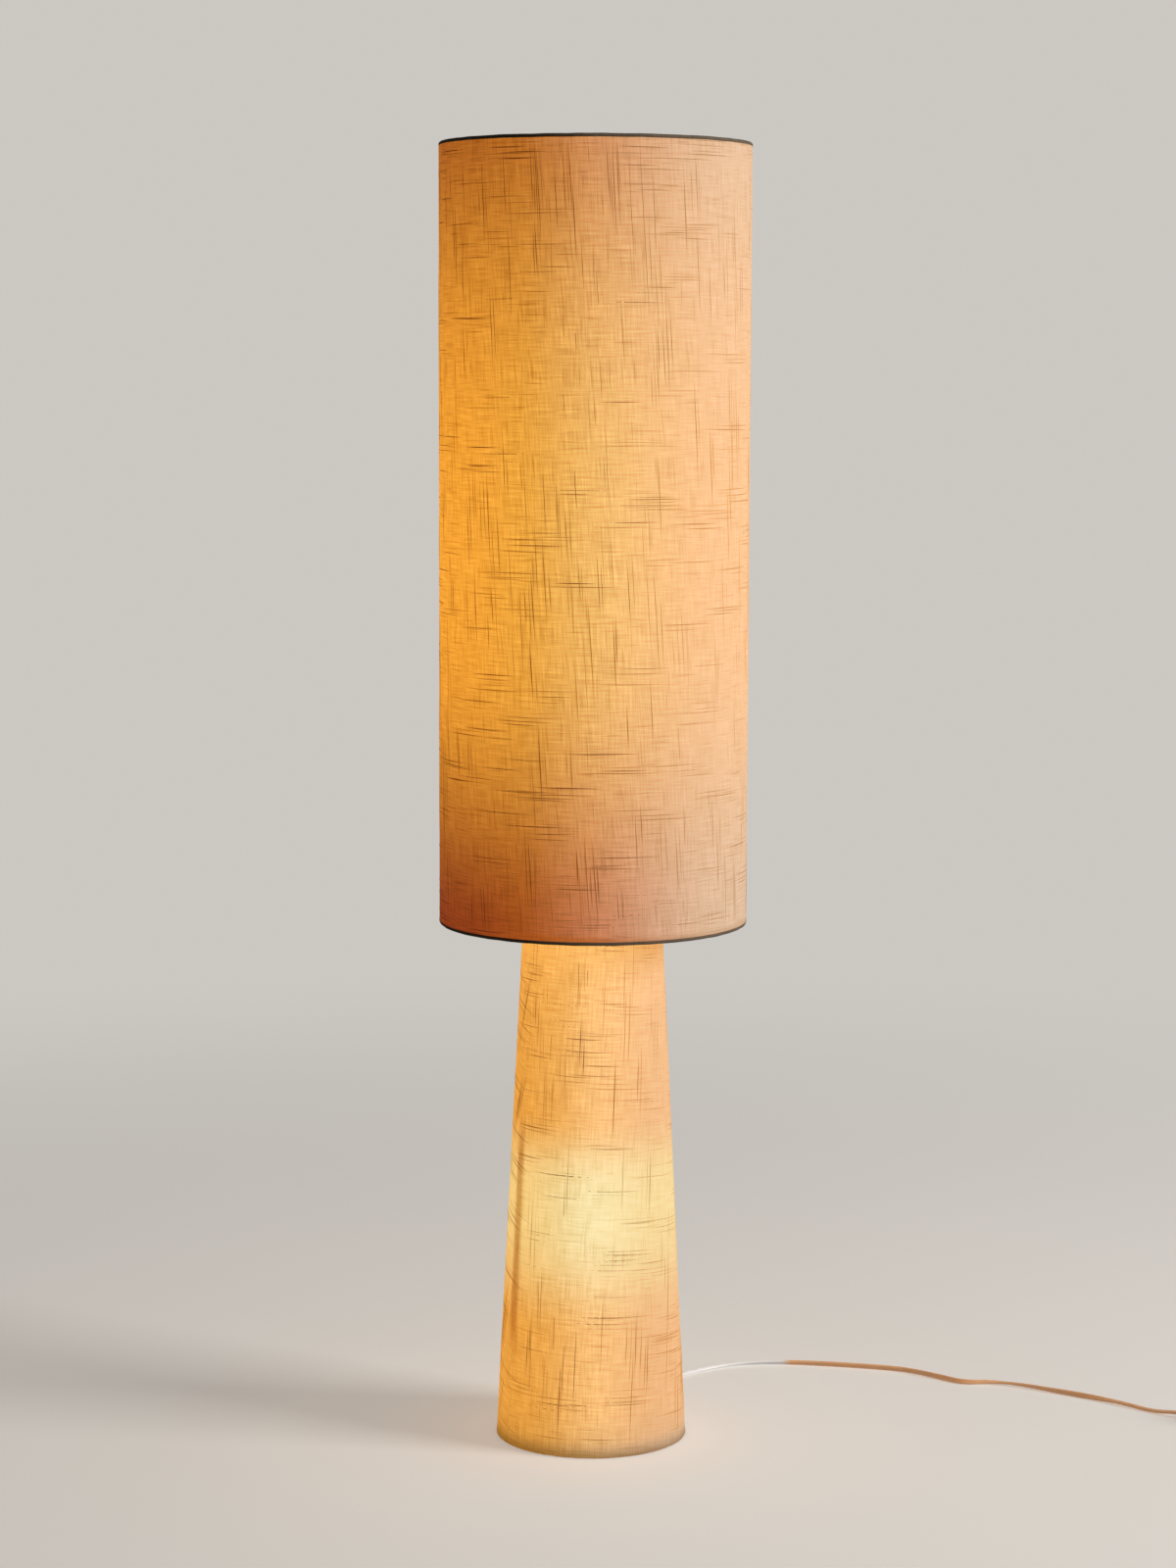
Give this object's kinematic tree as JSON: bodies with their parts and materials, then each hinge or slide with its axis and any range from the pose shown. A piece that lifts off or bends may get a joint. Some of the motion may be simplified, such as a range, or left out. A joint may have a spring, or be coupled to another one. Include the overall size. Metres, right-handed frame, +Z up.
{
  "type": "fabric shade floor lamp",
  "caption": "Floor lamp with a tall straight fabric drum shade standing on a lit fabric cone, each lifting off a steel stem, with a clear flex, foot switch and plug.",
  "frame": {"origin": "on the floor, at the centre of the lamp's round base", "axes": "+Z up along the stem, front of the lamp towards -Y, cord leaving low at the back towards +X"},
  "size_m": [1.0847, 0.4572, 1.475],
  "materials": {
    "shade_linen": "plain linen weave with dark slubs",
    "cover_linen": "plain linen weave with dark slubs",
    "hem_linen": "linen turned over wire",
    "stiff_liner": "translucent stiff liner",
    "seam_tape": "adhesive tape",
    "white_wire": "white powder coat",
    "black_steel": "black powder coat",
    "cast_flange": "cast",
    "pad_rubber": "matt",
    "zinc_steel": "zinc plated",
    "white_steel": "white powder coat",
    "holder_plastic": "moulded",
    "ceramic": "glazed ceramic",
    "contact_brass": "bright",
    "bulb_cap": "spun",
    "opal_glass": "opal, lit",
    "terminal_plastic": "moulded",
    "clear_flex": "clear sheath over copper strands",
    "lead_sleeve": "round sheath",
    "soft_grommet": "soft moulding",
    "switch_plastic": "moulded",
    "mechanism_plastic": "moulded",
    "plug_plastic": "moulded",
    "plug_brass": "nickel-tinted brass"
  },
  "bodies": {
    "stand": {"base_plate": "black_steel", "bracket_screw": "zinc_steel", "centre_contacts": "contact_brass", "clamp_screws": "zinc_steel", "cord_clamp": "terminal_plastic", "cord_coil": "clear_flex", "cord_gland": "soft_grommet", "cord_link": "clear_flex", "cord_run": "clear_flex", "cord_tail": "clear_flex", "flange_screws": "zinc_steel", "foot_pads": "pad_rubber", "inner_cord": "clear_flex", "lower_bracket": "white_steel", "lower_bulb_base": "bulb_cap", "lower_bulb_glass": "opal_glass", "lower_holder_cap": "holder_plastic", "lower_holder_insert": "ceramic", "lower_holder_shell": "holder_plastic", "lower_lead": "lead_sleeve", "lower_nipple": "zinc_steel", "nipple_nut": "zinc_steel", "plug_body": "plug_plastic", "plug_pins": "plug_brass", "seat_nuts": "zinc_steel", "stem": "white_steel", "stem_flange": "cast_flange", "stem_lead": "lead_sleeve", "switch_glands": "soft_grommet", "switch_lower_case": "switch_plastic", "switch_mechanism": "mechanism_plastic", "switch_pad": "pad_rubber", "switch_screws": "zinc_steel", "switch_spring": "zinc_steel", "switch_upper_case": "switch_plastic", "terminal_block": "terminal_plastic", "top_seat": "white_steel", "upper_bulb_base": "bulb_cap", "upper_bulb_glass": "opal_glass", "upper_holder_cap": "holder_plastic", "upper_holder_insert": "ceramic", "upper_holder_shell": "holder_plastic", "upper_nipple": "zinc_steel"},
    "button": {"switch_button": "switch_plastic"},
    "cover": {"base_bottom_ring": "white_wire", "base_fabric": "cover_linen", "base_liner": "stiff_liner", "base_seam_tape": "seam_tape", "base_top_hem": "hem_linen", "base_top_ring": "white_wire", "base_top_spider": "white_wire"},
    "shade": {"shade_arms": "white_wire", "shade_bottom_hem": "hem_linen", "shade_bottom_ring": "white_wire", "shade_fabric": "shade_linen", "shade_hub": "white_wire", "shade_liner": "stiff_liner", "shade_seam_tape": "seam_tape", "shade_top_hem": "hem_linen", "shade_top_ring": "white_wire"}
  },
  "joints": [
    {"name": "switch_press", "type": "slide", "parent": "stand", "child": "button", "axis": [0, 0, -1], "range_m": [0, 0.003], "stiffness_N_per_m": 1200, "springref_m": -0.001, "deforming": ["switch_spring"]},
    {"name": "cover_lift", "type": "slide", "parent": "stand", "child": "cover", "axis": [0, 0, 1], "range_m": [0, 0.45]},
    {"name": "shade_lift", "type": "slide", "parent": "cover", "child": "shade", "axis": [0, 0, 1], "range_m": [0, 0.45]}
  ]
}
